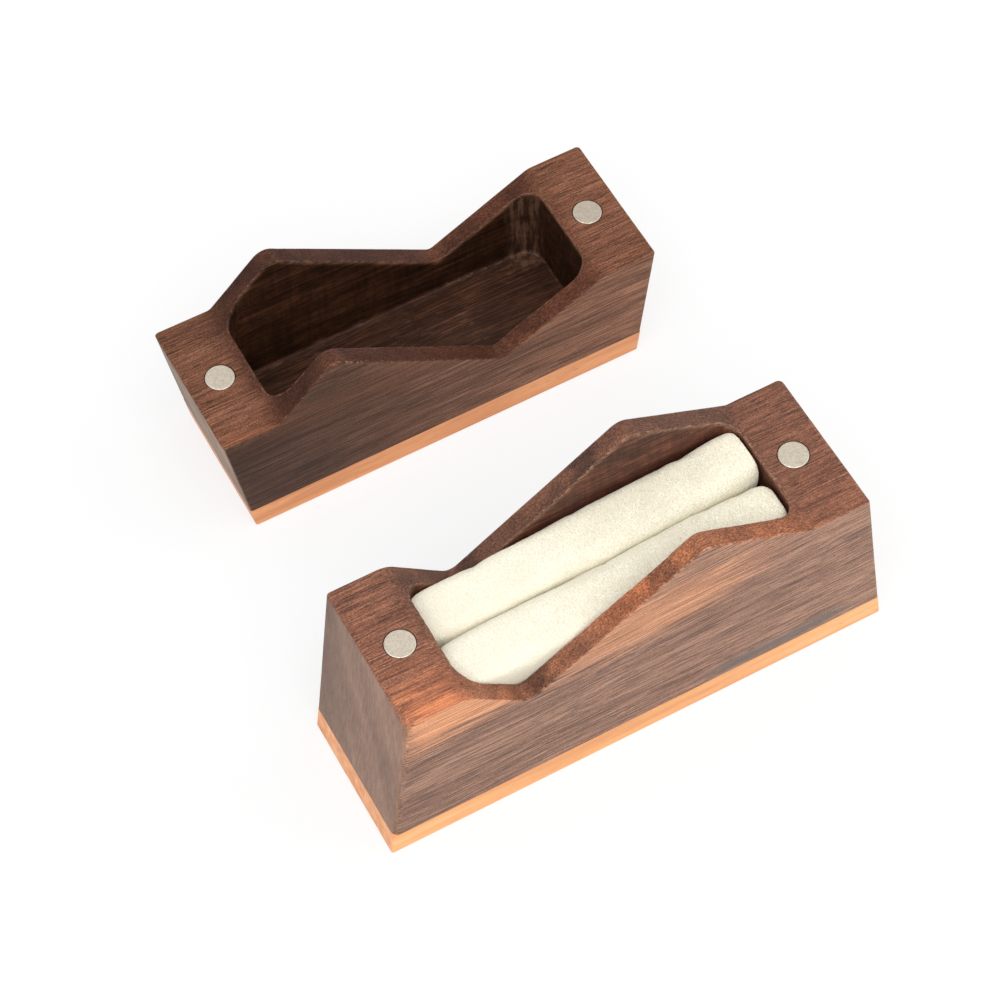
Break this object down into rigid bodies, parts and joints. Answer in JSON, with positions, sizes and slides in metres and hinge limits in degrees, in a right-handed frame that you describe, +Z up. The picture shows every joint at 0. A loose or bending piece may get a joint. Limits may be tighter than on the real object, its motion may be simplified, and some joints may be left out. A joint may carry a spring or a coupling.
{
  "type": "ring box",
  "caption": "Slim walnut ring box whose lift-off lid meets the base along a mountain-shaped line, with cherry faces, flush magnets and a slotted velvet cushion.",
  "frame": {"origin": "centre of the underside of the base's cherry sole, on the surface that the box stands on", "axes": "+X along the box's length towards the raised peak of the rim, +Y across it from the base towards the turned-over lid, +Z up"},
  "size_m": [0.072, 0.0734, 0.0372],
  "materials": {
    "walnut": "oiled",
    "cherry": "oiled",
    "nickel": "satin nickel plating",
    "velvet": "short-pile velvet",
    "foam": "open-cell foam"
  },
  "bodies": {
    "base": {"base_block": "walnut", "base_sole": "cherry", "base_magnet_left": "nickel", "base_magnet_right": "nickel", "foam_core_front": "foam", "foam_core_back": "foam", "velvet_cover_front": "velvet", "velvet_cover_back": "velvet"},
    "lid": {"lid_block": "walnut", "lid_cap": "cherry", "lid_magnet_left": "nickel", "lid_magnet_right": "nickel"}
  },
  "joints": [
    {"name": "lid_turn_over", "type": "hinge", "parent": "base", "child": "lid", "pos_m": [0, 0.0261, 0.025], "axis": [1, 0, 0], "range_deg": [0, 180]}
  ]
}
